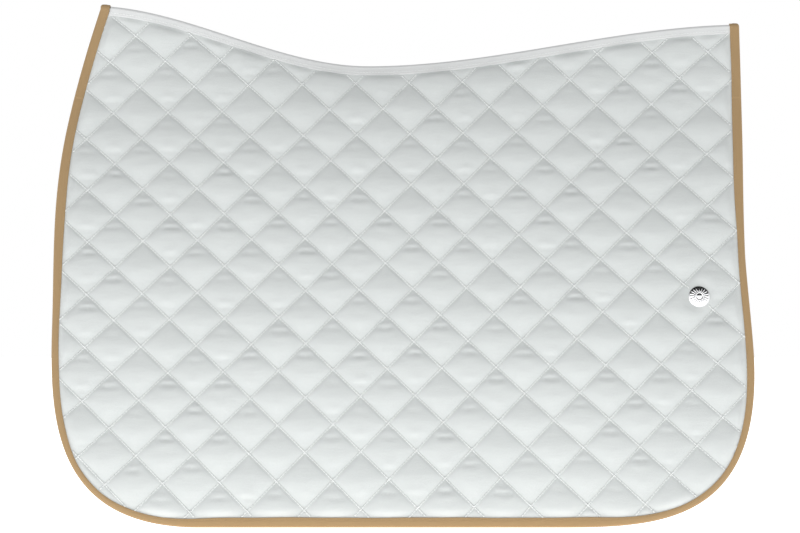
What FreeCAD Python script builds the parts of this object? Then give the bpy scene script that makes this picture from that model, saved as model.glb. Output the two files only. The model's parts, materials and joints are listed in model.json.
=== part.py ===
import FreeCAD, Part
import math
import os

# A quilted saddle pad for a horse, standing as a tent on its two hems.
# X runs along the horse from the withers end (-X) to the rear end (+X), Y runs from the left
# flap (-Y) to the right flap (+Y), Z is up with z = 0 under the hems. All sizes are in millimetres.
# Each panel is cover cloth, wadding and lining. A tape binds the whole edge, a second tape
# binds the spine, and a riveted badge sits low on the rear of the left flap. The panels bend
# along two fold lines, where the spine ridge ends and each flap starts.

# Outline of the pad, seen from the side
half_length = 342.2
fold_height = 395.0
withers_rise = 118.6
dip_rise = 57.7
croup_rise = 100.4
spine_front_setback = 51.6
spine_rear_setback = 14.9
dip_x = -34.6
withers_slope = -0.11
croup_slope = 0.035
front_top_setback = 37.5
front_lean = 17.4
front_top_reach = 165.0
front_side_reach = 106.4
front_bulge_height = 192.4
front_corner_side_reach = 89.9
front_corner_hem_reach = 140.0
front_hem_setback = 145.6
rear_top_setback = 0.8
rear_top_reach = 129.5
rear_waist_setback = 5.4
rear_waist_height = 266.7
rear_waist_reach = 76.3
rear_bulge_reach = 25.9
rear_bulge_height = 155.1
rear_corner_side_reach = 152.2
rear_corner_hem_reach = 92.5
rear_hem_setback = 188.9
top_corner_radius = 8.0

# Hang of the panels, seen from the end
fold_half_gap = 26.0
fold_lean = 21.0
hem_lean = 4.0
fold_slit = 4.0
crest_half_gap = 0.15

# Cloth, wadding and tapes
cloth_thickness = 1.0
wadding_thickness = 6.0
tape_thickness = 1.0
binding_width = 9.0
binding_crest_rise = 3.0
spine_tape_width = 9.0
thread_width = 0.8
thread_height = 0.3
binding_thread_inset = 7.2
spine_thread_depth = 6.0

# Quilting: a square lattice standing on its corners, its rows rising slightly to the rear
quilt_half_diagonal = 26.69
quilt_tilt = 1.0
quilt_start_x = 9.7
quilt_start_depth = 112.5
quilt_edge_gap = 0.6

# Badge
badge_radius = 10.5
badge_rear_setback = 52.5
badge_height = 222.1
badge_plate = 1.2
badge_rim_height = 2.6
badge_rim_width = 2.2
badge_boss_radius = 3.6
badge_boss_height = 3.4
badge_notches = 16
badge_notch_radius = 0.7
post_radius = 1.5
post_clearance = 0.06
rivet_head_radius = 2.6
rivet_head_height = 0.8
washer_radius = 6.0
washer_thickness = 0.8

# Values worked out from the sizes above
panel_thickness = 2 * cloth_thickness + wadding_thickness
cover_inner = cloth_thickness + wadding_thickness
spine_front_x = spine_front_setback - half_length
spine_rear_x = half_length - spine_rear_setback
front_top_x = front_top_setback - half_length
rear_top_x = half_length - rear_top_setback
fold_sine = math.sin(math.radians(fold_lean))
hang_radius = fold_height / (fold_sine - math.sin(math.radians(hem_lean)))
clear_height = fold_height + 2 * withers_rise
prism_depth = 2 * fold_height


def hermite(start, start_slope, end, end_slope, x):
    """Cubic through two points (x, z) with the given slopes."""
    span = end[0] - start[0]
    t = (x - start[0]) / span
    return (
        (2 * t**3 - 3 * t**2 + 1) * start[1]
        + (t**3 - 2 * t**2 + t) * span * start_slope
        + (3 * t**2 - 2 * t**3) * end[1]
        + (t**3 - t**2) * span * end_slope
    )


def spine_height(x):
    """Height of the panels' top edge: high at the withers, low at the dip, high at the croup."""
    withers = (spine_front_x, fold_height + withers_rise)
    dip = (dip_x, fold_height + dip_rise)
    croup = (spine_rear_x, fold_height + croup_rise)
    if x < spine_front_x:
        return withers[1] + withers_slope * (x - spine_front_x)
    if x < dip_x:
        return hermite(withers, withers_slope, dip, 0.0, x)
    if x < spine_rear_x:
        return hermite(dip, 0.0, croup, croup_slope, x)
    return croup[1] + croup_slope * (x - spine_rear_x)


def hang_lean(z):
    """Lean of a flap from the vertical at a height, in radians."""
    return math.asin(fold_sine - (fold_height - z) / hang_radius)


def flap_y(z):
    """Distance of a flap's inner face from the middle plane: an arc below the fold line."""
    return fold_half_gap + hang_radius * (math.cos(hang_lean(z)) - math.cos(math.radians(fold_lean)))


def ridge_y(x, depth):
    """The same distance above the fold line, at a depth below the crest: a parabola."""
    rise = spine_height(x) - fold_height
    fold_slope = math.tan(math.radians(fold_lean))
    crest_slope = 2 * (fold_half_gap - crest_half_gap) / rise - fold_slope
    return crest_half_gap + crest_slope * depth + (fold_slope - crest_slope) * depth**2 / (2 * rise)


def at(x, z, y=0.0):
    return FreeCAD.Vector(x, y, z)


def bezier(*poles):
    curve = Part.BezierCurve()
    curve.setPoles([at(*pole) for pole in poles])
    return curve


def smooth(points, first_tangent=None, last_tangent=None):
    """Spline edge through points, with end tangents if they are given."""
    curve = Part.BSplineCurve()
    if first_tangent is None:
        curve.interpolate(Points=points)
    else:
        curve.interpolate(Points=points, InitialTangent=first_tangent, FinalTangent=last_tangent)
    return curve.toShape()


def polyline(*points):
    return Part.makePolygon([at(*point) for point in points]).Edges


def front_rim():
    """Front edge from the crest to the hem, as curves end to end."""
    lean = math.radians(front_lean)
    top = (front_top_x, spine_height(front_top_x) + binding_crest_rise)
    out = (top[0] - front_top_reach * math.sin(lean), top[1] - front_top_reach * math.cos(lean))
    bulge = (-half_length, front_bulge_height)
    foot = (front_hem_setback - half_length, 0)
    upper = bezier(top, out, (bulge[0], bulge[1] + front_side_reach), bulge)
    lower = bezier(bulge, (bulge[0], bulge[1] - front_corner_side_reach),
                   (foot[0] - front_corner_hem_reach, 0), foot)
    return [upper, lower]


def rear_rim():
    """Rear edge from the crest to the hem, as curves end to end."""
    top = (rear_top_x, spine_height(rear_top_x) + binding_crest_rise)
    waist = (half_length - rear_waist_setback, rear_waist_height)
    bulge = (half_length, rear_bulge_height)
    foot = (half_length - rear_hem_setback, 0)
    upper = bezier(top, (top[0], top[1] - rear_top_reach), (waist[0], waist[1] + rear_waist_reach), waist)
    middle = bezier(waist, (waist[0], waist[1] - rear_bulge_reach),
                    (bulge[0], bulge[1] + rear_bulge_reach), bulge)
    lower = bezier(bulge, (bulge[0], bulge[1] - rear_corner_side_reach),
                   (foot[0] + rear_corner_hem_reach, 0), foot)
    return [upper, middle, lower]


def rim_edge(curves, inset, inward):
    """Spline at a distance inside a rim. inward is +1 at the front, where inside is +X, and -1 at
    the rear."""
    samples = 14
    points = []
    for number, curve in enumerate(curves):
        for step in range(samples + 1):
            if step or not number:
                t = step / samples
                tangent = curve.tangent(t)[0]
                normal = FreeCAD.Vector(-tangent.z, 0, tangent.x) * inward
                points.append(curve.value(t) + normal * inset)
    first = curves[0].tangent(0)[0]
    last = curves[-1].tangent(1)[0]
    return smooth(points, first, last)


def inside_rim(inset):
    """Face in the XZ plane of all that lies inside the rim by a distance, open-ended upwards."""
    front = rim_edge(front_rim(), inset, 1)
    rear = rim_edge(rear_rim(), inset, -1)
    front_top, front_foot = front.valueAt(front.FirstParameter), front.valueAt(front.LastParameter)
    rear_top, rear_foot = rear.valueAt(rear.FirstParameter), rear.valueAt(rear.LastParameter)
    roof = polyline((front_top.x, front_top.z), (front_top.x, clear_height),
                    (rear_top.x, clear_height), (rear_top.x, rear_top.z))
    hem = polyline((front_foot.x, inset), (rear_foot.x, inset))
    return Part.Face(Part.Wire(Part.__sortEdges__([front, rear] + hem + roof)))


def under_crest(rise):
    """Face in the XZ plane of all that lies below the crest line raised by a distance, with the
    crest's two ends rounded down."""
    radius = top_corner_radius
    front_out = math.tan(math.radians(front_lean))
    rear_out = math.tan(math.radians(1.0))
    front_z = spine_height(front_top_x) + rise
    rear_z = spine_height(rear_top_x) + rise
    start_x = front_top_x + radius
    end_x = rear_top_x - radius
    steps = 40
    crest = [at(x, spine_height(x) + rise)
             for x in (start_x + (end_x - start_x) * k / steps for k in range(steps + 1))]
    front_low = (front_top_x - front_out * front_z, 0)
    rear_low = (rear_top_x + rear_out * rear_z, 0)
    front_turn = (front_top_x - front_out * radius, front_z - radius)
    rear_turn = (rear_top_x + rear_out * radius, rear_z - radius)
    edges = [
        bezier(front_turn, (front_top_x, front_z), (crest[0].x, crest[0].z)).toShape(),
        smooth(crest),
        bezier((crest[-1].x, crest[-1].z), (rear_top_x, rear_z), rear_turn).toShape(),
    ]
    edges += polyline(rear_turn, rear_low, (rear_low[0], -fold_height),
                      (front_low[0], -fold_height), front_low, front_turn)
    return Part.Face(Part.Wire(Part.__sortEdges__(edges)))


def prism(face):
    """Left half-space extrusion of a side-view face, from the middle plane outwards."""
    return face.extrude(FreeCAD.Vector(0, -prism_depth, 0))


def flap_slab(start, end):
    """Left flap's layer from one depth behind the inner face to another, cut off at the fold."""
    top = fold_height - fold_slit / 2
    low = -fold_slit
    overhang = half_length + fold_slit
    arc = Part.Arc(*[at(-overhang, z, -flap_y(z) - start) for z in (low, (low + top) / 2, top)])
    face = arc.toShape().extrude(FreeCAD.Vector(2 * overhang, 0, 0))
    return face.extrude(FreeCAD.Vector(0, start - end, 0))


def ridge_slab(start, end):
    """Left ridge's layer from one depth behind the inner face to another, from the fold up."""
    columns = 36
    rows = 8
    overhang = half_length + fold_slit
    low = fold_height + fold_slit / 2
    grid = []
    for column in range(columns + 1):
        x = overhang * (2 * column / columns - 1)
        high = spine_height(x) + 2 * binding_crest_rise
        heights = [low + (high - low) * row / rows for row in range(rows + 1)]
        grid.append([at(x, z, -ridge_y(x, spine_height(x) - z) - start) for z in heights])
    surface = Part.BSplineSurface()
    surface.interpolate(grid)
    return surface.toShape().extrude(FreeCAD.Vector(0, start - end, 0))


def mirrored(shape):
    return shape.mirror(FreeCAD.Vector(0, 0, 0), FreeCAD.Vector(0, 1, 0))


def both_sides(shape):
    return shape.fuse(mirrored(shape)).removeSplitter()


def halves_by_x(shape):
    """The front and the rear solids of a shape whose solids lie near the two ends."""
    front = [solid for solid in shape.Solids if solid.CenterOfMass.x < 0]
    rear = [solid for solid in shape.Solids if solid.CenterOfMass.x > 0]
    return Part.makeCompound(front), Part.makeCompound(rear)


def quilt_point(column, row):
    """Lattice point, counted in half diagonals along the rows and up from the start point."""
    tilt = math.radians(quilt_tilt)
    along = quilt_half_diagonal * math.cos(tilt)
    rise = quilt_half_diagonal * math.sin(tilt)
    return at(quilt_start_x + along * column - rise * row,
              fold_height - quilt_start_depth + rise * column + along * row)


def quilt_net(region):
    """Both sets of quilting lines: a side-view face less the diamonds between the lines."""
    tilt = math.radians(quilt_tilt)
    reach = quilt_half_diagonal - thread_width / math.sqrt(2)
    across = at(math.cos(tilt), math.sin(tilt)) * reach
    up = at(-math.sin(tilt), math.cos(tilt)) * reach
    box = region.BoundBox
    box.enlarge(quilt_half_diagonal)
    count = int((box.XLength + box.ZLength) / quilt_half_diagonal)
    diamonds = []
    for column in range(-count, count + 1):
        for row in range(-count, count + 1):
            middle = quilt_point(column, row)
            near = box.XMin < middle.x < box.XMax and box.ZMin < middle.z < box.ZMax
            if near and (column + row) % 2:
                corners = [middle + across, middle + up, middle - across, middle - up]
                diamonds.append(Part.Face(Part.makePolygon(corners + corners[:1])))
    return region.cut(diamonds)


def badge_parts():
    """Cap, rivet and washer of the badge on the left flap, with the tools for its hole and seat."""
    lean = hang_lean(badge_height)
    out = FreeCAD.Vector(0, -math.cos(lean), math.sin(lean))
    centre_x = half_length - badge_rear_setback
    outer = FreeCAD.Vector(centre_x, -flap_y(badge_height) - panel_thickness, badge_height)
    depth = panel_thickness * math.cos(lean)
    seat = washer_radius**2 / hang_radius
    bore = post_radius + post_clearance

    def disc(radius, height, offset):
        return Part.makeCylinder(radius, height, outer + out * offset, out)

    plate = disc(badge_radius, badge_rim_height, 0)
    plate = plate.cut(disc(badge_radius - badge_rim_width, badge_rim_height, badge_plate))
    plate = plate.fuse(disc(badge_boss_radius, badge_boss_height, 0))
    side = FreeCAD.Vector(1, 0, 0)
    ring = (badge_boss_radius + badge_radius - badge_rim_width) / 2
    for number in range(badge_notches):
        turn = FreeCAD.Rotation(out, 360 * number / badge_notches)
        place = outer + turn.multVec(side) * ring
        plate = plate.fuse(Part.makeSphere(badge_notch_radius, place + out * badge_plate))
    cap = plate.cut(disc(bore, badge_plate, 0))
    back = -depth - seat - washer_thickness
    washer = disc(washer_radius, washer_thickness, back).cut(disc(bore, washer_thickness, back))
    rivet = disc(post_radius, badge_plate - back, back)
    rivet = rivet.fuse(disc(rivet_head_radius, rivet_head_height, back - rivet_head_height))
    hole = disc(bore, 2 * panel_thickness, -1.5 * panel_thickness)
    seat_space = disc(badge_radius + quilt_edge_gap, panel_thickness, -panel_thickness / 2)
    return cap, rivet.removeSplitter(), washer, hole, seat_space


def build():
    """All the pad's pieces by name."""
    parts = {}
    rim = inside_rim(0)
    panel_rim = inside_rim(tape_thickness)
    binding_inner_rim = inside_rim(binding_width)
    panel_face = panel_rim.common(under_crest(0))
    panel = prism(panel_face)
    badge_cap, badge_rivet, badge_washer, badge_hole, badge_seat = badge_parts()

    # Panels: lining, wadding and cover, below and above each fold line
    layers = {
        "lining": (0, cloth_thickness),
        "wadding": (cloth_thickness, cover_inner),
        "cover": (cover_inner, panel_thickness),
    }
    for layer, (start, end) in layers.items():
        flap = panel.common(flap_slab(start, end))
        ridge = panel.common(ridge_slab(start, end))
        parts["left_flap_" + layer] = flap.cut(badge_hole)
        parts["right_flap_" + layer] = mirrored(flap)
        parts["left_ridge_" + layer] = ridge
        parts["right_ridge_" + layer] = mirrored(ridge)

    # Edge binding: a folded tape round both faces and the raw edge
    outer_start = -tape_thickness
    outer_end = panel_thickness + tape_thickness
    band = rim.cut(binding_inner_rim)
    flap_binding = prism(band).common(flap_slab(outer_start, outer_end))
    flap_binding = flap_binding.cut(panel.common(flap_slab(0, panel_thickness)))
    parts["left_binding"] = flap_binding
    parts["right_binding"] = mirrored(flap_binding)
    crest_top = under_crest(binding_crest_rise)
    lower_band = band.common(under_crest(0))
    upper_band = band.common(crest_top).cut(under_crest(0))
    arch = prism(lower_band).common(ridge_slab(outer_start, outer_end))
    arch = arch.cut(panel.common(ridge_slab(0, panel_thickness)))
    arch = arch.fuse(prism(upper_band).common(ridge_slab(-binding_crest_rise, outer_end)))
    parts["front_binding"], parts["rear_binding"] = halves_by_x(both_sides(arch))

    # Spine tape: folded over the panels' top edges, between the two ends of the binding
    strip = binding_inner_rim.common(under_crest(tape_thickness)).cut(under_crest(0))
    legs = binding_inner_rim.common(under_crest(0)).cut(under_crest(tape_thickness - spine_tape_width))
    tape = prism(strip).common(ridge_slab(-binding_crest_rise, outer_end))
    tape = tape.fuse(prism(legs).common(ridge_slab(panel_thickness, outer_end)))
    parts["spine_tape"] = both_sides(tape)

    # Stitching: a raised line of thread on each face that it shows on
    thread_band = inside_rim(binding_thread_inset).cut(inside_rim(binding_thread_inset + thread_width))
    thread_band = thread_band.common(under_crest(-binding_crest_rise))
    inner_row = (outer_start - thread_height, outer_start)
    outer_row = (outer_end, outer_end + thread_height)
    flap_rows = [prism(thread_band).common(flap_slab(*row)) for row in (inner_row, outer_row)]
    parts["left_binding_thread"] = Part.makeCompound(flap_rows)
    parts["right_binding_thread"] = mirrored(parts["left_binding_thread"])
    arch_row = prism(thread_band).common(ridge_slab(*outer_row))
    arch_rows = Part.makeCompound([arch_row, mirrored(arch_row)])
    parts["front_binding_thread"], parts["rear_binding_thread"] = halves_by_x(arch_rows)
    spine_row = under_crest(thread_width - spine_thread_depth).cut(under_crest(-spine_thread_depth))
    spine_row = prism(spine_row.common(binding_inner_rim)).common(ridge_slab(*outer_row))
    parts["spine_tape_thread"] = Part.makeCompound([spine_row, mirrored(spine_row)])

    # Quilting thread on the covers, inside the binding and the spine tape, and clear of the badge
    quilted = inside_rim(binding_width + quilt_edge_gap)
    quilted = quilted.common(under_crest(tape_thickness - spine_tape_width - quilt_edge_gap))
    net = prism(quilt_net(quilted))
    net_row = (panel_thickness, panel_thickness + thread_height)
    flap_net = net.common(flap_slab(*net_row))
    parts["left_flap_quilting"] = flap_net.cut(badge_seat)
    parts["right_flap_quilting"] = mirrored(flap_net)
    parts["left_ridge_quilting"] = net.common(ridge_slab(*net_row))
    parts["right_ridge_quilting"] = mirrored(parts["left_ridge_quilting"])

    # Badge
    parts["badge_cap"] = badge_cap
    parts["badge_rivet"] = badge_rivet
    parts["badge_washer"] = badge_washer
    return parts


os.makedirs("parts", exist_ok=True)
for name, shape in build().items():
    solids = shape.Solids
    print(name, len(solids), "solid(s)", round(shape.Volume), "mm3", shape.isValid())
    body = solids[0] if len(solids) == 1 else Part.makeCompound(solids)
    body.exportStep("parts/" + name + ".step")
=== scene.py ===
"""Looks of a quilted saddle pad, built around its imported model.

The pad stands as a tent on its two hems. +X runs from the withers end to the rear end, -Y is the
left flap and +Z is up. Shapes are worked out in millimetres as surfaces over the side view (x, z),
and scaled to metres when they become meshes.
"""

import json
import logging
import math
from dataclasses import dataclass
from enum import Enum

import bpy
import numpy as np
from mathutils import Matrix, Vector

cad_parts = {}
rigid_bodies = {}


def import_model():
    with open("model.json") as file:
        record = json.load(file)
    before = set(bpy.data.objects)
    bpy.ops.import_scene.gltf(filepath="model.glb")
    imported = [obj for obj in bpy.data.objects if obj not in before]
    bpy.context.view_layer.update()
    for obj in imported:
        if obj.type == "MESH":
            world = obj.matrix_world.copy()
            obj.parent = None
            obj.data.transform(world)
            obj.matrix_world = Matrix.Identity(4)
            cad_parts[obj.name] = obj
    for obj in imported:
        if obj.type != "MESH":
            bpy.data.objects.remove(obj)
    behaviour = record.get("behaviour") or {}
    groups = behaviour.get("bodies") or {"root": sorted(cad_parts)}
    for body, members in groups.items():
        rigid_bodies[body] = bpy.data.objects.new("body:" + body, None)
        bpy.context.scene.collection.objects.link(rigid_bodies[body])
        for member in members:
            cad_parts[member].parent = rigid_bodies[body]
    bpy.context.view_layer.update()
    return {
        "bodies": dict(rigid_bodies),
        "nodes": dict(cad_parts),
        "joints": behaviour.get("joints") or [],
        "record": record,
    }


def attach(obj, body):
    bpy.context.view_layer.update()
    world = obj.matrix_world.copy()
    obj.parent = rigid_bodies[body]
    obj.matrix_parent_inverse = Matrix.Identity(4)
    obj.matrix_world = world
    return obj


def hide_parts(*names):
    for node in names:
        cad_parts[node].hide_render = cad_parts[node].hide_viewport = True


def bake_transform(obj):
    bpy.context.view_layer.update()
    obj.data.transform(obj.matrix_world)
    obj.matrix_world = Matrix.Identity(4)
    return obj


LOG = logging.getLogger("saddle_pad")
MM = 0.001
Array = np.ndarray


class Side(Enum):
    """A flap of the pad: its name and the sign of its Y."""

    LEFT = ("left", -1.0)
    RIGHT = ("right", 1.0)

    @property
    def label(self) -> str:
        """Name of the side as the pieces use it."""
        return self.value[0]

    @property
    def sign(self) -> float:
        """Sign of Y on this side."""
        return self.value[1]

    @property
    def flap(self) -> str:
        """Name of the side's moving body."""
        return f"{self.label}_flap"


class Face(Enum):
    """Which face of a panel a layer shows: away from the horse, or against it."""

    OUTER = 1.0
    INNER = -1.0


def smoothstep(value: Array, low: float, high: float) -> Array:
    """Ramp from 0 at low to 1 at high, with level ends: 3 t squared less 2 t cubed."""
    t = np.clip((value - low) / (high - low), 0.0, 1.0)
    return t * t * (3.0 - 2.0 * t)


def bezier(poles: list[tuple[float, float]], count: int) -> Array:
    """Cubic curve through its first and last poles, pulled by the two between.

    Args:
        poles: four (x, z) poles.
        count: number of points, the first pole included and the last left out.

    Returns:
        Points as rows of (x, z).
    """
    t = np.linspace(0.0, 1.0, count, endpoint=False)[:, None]
    p = np.array(poles, float)
    return (
        (1 - t) ** 3 * p[0] + 3 * (1 - t) ** 2 * t * p[1] + 3 * (1 - t) * t**2 * p[2] + t**3 * p[3]
    )


def resample(points: Array, step: float) -> Array:
    """Points at even arc length along a polyline.

    Args:
        points: rows of coordinates.
        step: wanted distance between neighbours.

    Returns:
        New rows, first and last kept.
    """
    lengths = np.concatenate([[0.0], np.cumsum(np.linalg.norm(np.diff(points, axis=0), axis=1))])
    count = max(2, int(round(lengths[-1] / step)) + 1)
    wanted = np.linspace(0.0, lengths[-1], count)
    return np.stack([np.interp(wanted, lengths, column) for column in points.T], axis=1)


@dataclass(frozen=True)
class Outline:
    """Side view of the pad: the crest line above, and the rim that the binding covers."""

    half_length: float
    fold_height: float
    withers_rise: float = 118.6
    dip_rise: float = 57.7
    croup_rise: float = 100.4
    front_setback: float = 51.6
    rear_setback: float = 14.9
    dip_x: float = -34.6
    withers_slope: float = -0.11
    croup_slope: float = 0.035
    front_top_setback: float = 37.5
    front_lean: float = 17.4
    front_top_reach: float = 165.0
    front_side_reach: float = 106.4
    front_bulge_height: float = 192.4
    front_corner_side_reach: float = 89.9
    front_corner_hem_reach: float = 140.0
    front_hem_setback: float = 145.6
    rear_top_setback: float = 0.8
    rear_top_reach: float = 129.5
    rear_waist_setback: float = 5.4
    rear_waist_height: float = 266.7
    rear_waist_reach: float = 76.3
    rear_bulge_reach: float = 25.9
    rear_bulge_height: float = 155.1
    rear_corner_side_reach: float = 152.2
    rear_corner_hem_reach: float = 92.5
    rear_hem_setback: float = 188.9
    top_rise: float = 3.0

    @staticmethod
    def _hermite(
        start: tuple[float, float, float], end: tuple[float, float, float], x: Array
    ) -> Array:
        """Cubic in x between two ends, each given as (x, height, slope)."""
        span = end[0] - start[0]
        t = np.clip((x - start[0]) / span, 0.0, 1.0)
        return (
            (2 * t**3 - 3 * t**2 + 1) * start[1]
            + (t**3 - 2 * t**2 + t) * span * start[2]
            + (3 * t**2 - 2 * t**3) * end[1]
            + (t**3 - t**2) * span * end[2]
        )

    def crest(self, x: Array) -> Array:
        """Height of the panels' top edge: two cubics that meet level at the dip, then lines."""
        front_x = self.front_setback - self.half_length
        rear_x = self.half_length - self.rear_setback
        withers = (front_x, self.fold_height + self.withers_rise, self.withers_slope)
        dip = (self.dip_x, self.fold_height + self.dip_rise, 0.0)
        croup = (rear_x, self.fold_height + self.croup_rise, self.croup_slope)
        x = np.asarray(x, float)
        curved = np.where(x < self.dip_x, self._hermite(withers, dip, x), self._hermite(dip, croup, x))
        before = self.withers_slope * np.minimum(x - front_x, 0.0)
        after = self.croup_slope * np.maximum(x - rear_x, 0.0)
        return curved + before + after

    def front_rim(self) -> Array:
        """Front edge from the crest down to the start of the straight hem."""
        end, lean = -self.half_length, math.radians(self.front_lean)
        top_x = end + self.front_top_setback
        top_z = float(self.crest(top_x)) + self.top_rise
        down = (top_x - self.front_top_reach * math.sin(lean), top_z - self.front_top_reach * math.cos(lean))
        bulge = self.front_bulge_height
        hem_x = end + self.front_hem_setback
        upper = bezier([(top_x, top_z), down, (end, bulge + self.front_side_reach), (end, bulge)], 300)
        side = (end, bulge - self.front_corner_side_reach)
        lower = bezier([(end, bulge), side, (hem_x - self.front_corner_hem_reach, 0), (hem_x, 0)], 300)
        return np.vstack([upper, lower])

    def rear_rim(self) -> Array:
        """Rear edge from the crest down to the end of the straight hem."""
        end = self.half_length
        top_x = end - self.rear_top_setback
        top_z = float(self.crest(top_x)) + self.top_rise
        waist_x, waist_z = end - self.rear_waist_setback, self.rear_waist_height
        bulge, reach = self.rear_bulge_height, self.rear_bulge_reach
        hem_x = end - self.rear_hem_setback
        down, above = (top_x, top_z - self.rear_top_reach), (waist_x, waist_z + self.rear_waist_reach)
        upper = bezier([(top_x, top_z), down, above, (waist_x, waist_z)], 300)
        below, over = (waist_x, waist_z - reach), (end, bulge + reach)
        middle = bezier([(waist_x, waist_z), below, over, (end, bulge)], 150)
        side = (end, bulge - self.rear_corner_side_reach)
        lower = bezier([(end, bulge), side, (hem_x + self.rear_corner_hem_reach, 0), (hem_x, 0)], 300)
        return np.vstack([upper, middle, lower])

    def rim(self, step: float) -> Array:
        """The whole rim, from the crest at the front, round the hem, to the crest at the rear."""
        return resample(np.vstack([self.front_rim(), self.rear_rim()[::-1]]), step)

    def crest_line(self, step: float) -> Array:
        """The crest line, from the rear to the front, so that the pad lies on its left as on the rim."""
        x = np.arange(self.half_length + 20.0, -self.half_length - 20.0, -step)
        return np.stack([x, self.crest(x)], axis=1)


def inward_normals(points: Array) -> Array:
    """Unit normals on the left of a polyline's direction of travel, in the side view.

    Down the front edge, along the hem and up the rear edge, left is the side of the pad.
    """
    tangent = np.gradient(points, axis=0)
    tangent /= np.linalg.norm(tangent, axis=1)[:, None]
    return np.stack([-tangent[:, 1], tangent[:, 0]], axis=1)


def inset_from(boundary: Array, points: Array) -> tuple[Array, Array]:
    """Distance of points inside a boundary, and the way inwards there.

    Each point takes its nearest boundary point, and its distance is measured along that point's
    inward normal.

    Args:
        boundary: rows of (x, z), with the pad on the left.
        points: rows of (x, z).

    Returns:
        The distances, and rows of unit normals.
    """
    normals = inward_normals(boundary)
    nearest = np.empty(len(points), int)
    chunk = 4000
    for start in range(0, len(points), chunk):
        part = points[start : start + chunk]
        gaps = ((part[:, None, :] - boundary[None, :, :]) ** 2).sum(-1)
        nearest[start : start + chunk] = gaps.argmin(1)
    inward = normals[nearest]
    return ((points - boundary[nearest]) * inward).sum(1), inward


@dataclass(frozen=True)
class Hang:
    """How the panels hang in end view: an arc below the fold line and a parabola above it."""

    outline: Outline
    half_gap: float = 26.0
    fold_lean: float = math.radians(21.0)
    hem_lean: float = math.radians(4.0)
    ridge_lean: float = math.radians(14.0)
    crest_gap: float = 0.15
    panel: float = 8.0
    crest_half_panel: float = 1.9

    @property
    def radius(self) -> float:
        """Radius of the arc that a flap hangs in."""
        return self.outline.fold_height / (math.sin(self.fold_lean) - math.sin(self.hem_lean))

    def lean(self, z: Array) -> Array:
        """Lean of a flap from upright at a height, in radians. Above the fold line it stays the same."""
        drop = np.maximum(self.outline.fold_height - z, 0.0)
        return np.arcsin(np.clip(math.sin(self.fold_lean) - drop / self.radius, -1.0, 1.0))

    def depth(self, z: Array) -> Array:
        """Distance down the cloth from the fold line to a height, negative above the fold."""
        drop = self.outline.fold_height - z
        below = self.radius * (self.fold_lean - self.lean(z))
        return np.where(drop > 0, below, drop / math.cos(self.ridge_lean))

    def height(self, depth: Array) -> Array:
        """Height at a distance down the cloth from the fold line."""
        lean = self.fold_lean - np.maximum(depth, 0.0) / self.radius
        below = self.radius * (math.sin(self.fold_lean) - np.sin(lean))
        above = np.minimum(depth, 0.0) * math.cos(self.ridge_lean)
        return self.outline.fold_height - below - above

    def inner_y(self, x: Array, z: Array) -> Array:
        """Distance of the panel's inner face from the middle plane."""
        flap = self.half_gap + self.radius * (np.cos(self.lean(z)) - math.cos(self.fold_lean))
        rise = self.outline.crest(x) - self.outline.fold_height
        slope = math.tan(self.fold_lean)
        crest_slope = 2 * (self.half_gap - self.crest_gap) / rise - slope
        depth = np.minimum(self.outline.crest(x) - z, rise)
        ridge = self.crest_gap + crest_slope * depth + (slope - crest_slope) * depth**2 / (2 * rise)
        return np.where(z < self.outline.fold_height, flap, ridge)

    def middle_y(self, x: Array, z: Array) -> Array:
        """Distance of the panel's middle face from the middle plane. It closes in at the crest."""
        depth = self.outline.crest(x) - z
        half = self.crest_half_panel
        half = half + (self.panel / 2 - half) * smoothstep(depth, 0.0, 45.0)
        return self.inner_y(x, z) + half

    def place(self, points: Array, lift: Array, side: Side) -> Array:
        """Points in space over the side view, raised off the panel's middle face.

        Args:
            points: rows of (x, z) in the side view.
            lift: distance along the outward normal, one for each point.
            side: the flap that they lie on.

        Returns:
            Rows of (x, y, z) in millimetres.
        """
        x, z = points[:, 0], points[:, 1]
        y = self.middle_y(x, z)
        normal = self.normals(points, side)
        base = np.stack([x, side.sign * y, z], axis=1)
        return base + normal * np.asarray(lift)[:, None]

    def normals(self, points: Array, side: Side) -> Array:
        """Outward unit normals of the middle face: the gradient of y by central differences."""
        x, z = points[:, 0], points[:, 1]
        step = 0.5
        by_x = (self.middle_y(x + step, z) - self.middle_y(x - step, z)) / (2 * step)
        by_z = (self.middle_y(x, z + step) - self.middle_y(x, z - step)) / (2 * step)
        normal = np.stack([-by_x, np.full_like(x, side.sign), -by_z], axis=1)
        return normal / np.linalg.norm(normal, axis=1)[:, None]


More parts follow.
